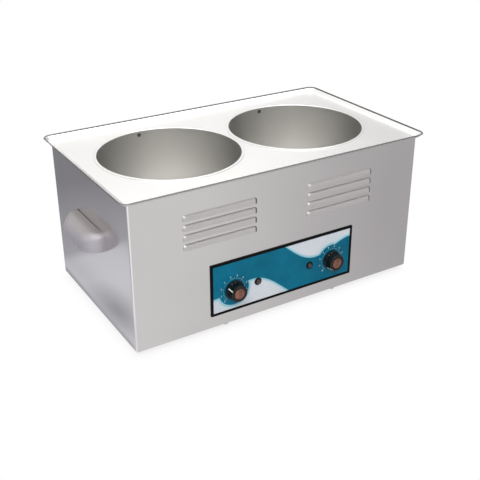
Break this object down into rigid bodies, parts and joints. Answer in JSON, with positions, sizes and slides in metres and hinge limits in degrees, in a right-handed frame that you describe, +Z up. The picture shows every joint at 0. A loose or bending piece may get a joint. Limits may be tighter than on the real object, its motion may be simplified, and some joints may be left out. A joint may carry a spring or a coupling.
{
  "type": "double wax warmer",
  "caption": "Table-top wax warmer: sheet-steel housing with louvres, flared top tray with round wells, panel with turning dials and lamps, cup handles and rubber feet.",
  "frame": {"origin": "on the table, under the middle of the housing", "axes": "+X to the right of someone facing the dials, +Y to the rear, +Z up"},
  "size_m": [0.45, 0.2625, 0.1963],
  "materials": {
    "body_steel": "satin stainless steel sheet",
    "handle_steel": "satin steel",
    "well_aluminium": "drawn aluminium, satin",
    "band_steel": "plain steel strip",
    "blanket": "glass-fibre felt",
    "frame_black": "black moulded frame",
    "label_print": "printed film, teal with white shapes",
    "knob_black": "black moulded plastic",
    "cap_metal": "polished metal disc, warm tint",
    "pointer_white": "white inlay",
    "lamp_black": "black moulded bezel",
    "lens_red": "dark red lens, unlit",
    "switch_body": "off-white ceramic-filled body",
    "shaft_steel": "turned steel",
    "fastener_steel": "zinc-plated steel",
    "bulb_copper": "copper bulb and fine tube",
    "terminal_brass": "bright brass",
    "terminal_body": "cream moulded block",
    "gland_black": "black nylon",
    "seal_rubber": "black rubber",
    "foot_rubber": "black rubber"
  },
  "bodies": {
    "frame": {"housing": "body_steel", "rear_panel": "body_steel", "base_plate": "body_steel", "top_tray": "body_steel", "left_handle": "handle_steel", "right_handle": "handle_steel", "left_well": "well_aluminium", "right_well": "well_aluminium", "left_heater_band": "band_steel", "right_heater_band": "band_steel", "bulb_saddles": "band_steel", "left_insulation": "blanket", "right_insulation": "blanket", "panel_frame": "frame_black", "panel_label": "label_print", "left_lamp_body": "lamp_black", "right_lamp_body": "lamp_black", "left_lamp_lens": "lens_red", "right_lamp_lens": "lens_red", "left_thermostat": "switch_body", "right_thermostat": "switch_body", "left_cutout": "switch_body", "right_cutout": "switch_body", "tray_nuts": "fastener_steel", "band_screws": "fastener_steel", "cutout_nuts": "fastener_steel", "saddle_nuts": "fastener_steel", "thermostat_nuts": "fastener_steel", "lamp_clips": "fastener_steel", "handle_screws": "fastener_steel", "foot_screws": "fastener_steel", "base_screws": "fastener_steel", "rear_screws": "fastener_steel", "earth_stud": "fastener_steel", "earth_nuts": "fastener_steel", "terminal_screws": "fastener_steel", "well_rivets": "fastener_steel", "left_bulb": "bulb_copper", "right_bulb": "bulb_copper", "terminal_barrels": "terminal_brass", "terminal_block": "terminal_body", "gland_body": "gland_black", "gland_locknut": "gland_black", "gland_dome_nut": "gland_black", "gland_seal": "seal_rubber", "front_left_foot": "foot_rubber", "rear_left_foot": "foot_rubber", "front_right_foot": "foot_rubber", "rear_right_foot": "foot_rubber"},
    "left_dial": {"left_shaft": "shaft_steel", "left_knob": "knob_black", "left_knob_cap": "cap_metal", "left_pointer": "pointer_white"},
    "right_dial": {"right_shaft": "shaft_steel", "right_knob": "knob_black", "right_knob_cap": "cap_metal", "right_pointer": "pointer_white"}
  },
  "joints": [
    {"name": "left_dial_turn", "type": "hinge", "parent": "frame", "child": "left_dial", "pos_m": [-0.0715, -0.118, 0.051], "axis": [0, 1, 0], "range_deg": [-75, 195]},
    {"name": "right_dial_turn", "type": "hinge", "parent": "frame", "child": "right_dial", "pos_m": [0.0715, -0.118, 0.051], "axis": [0, 1, 0], "range_deg": [0, 270]}
  ]
}
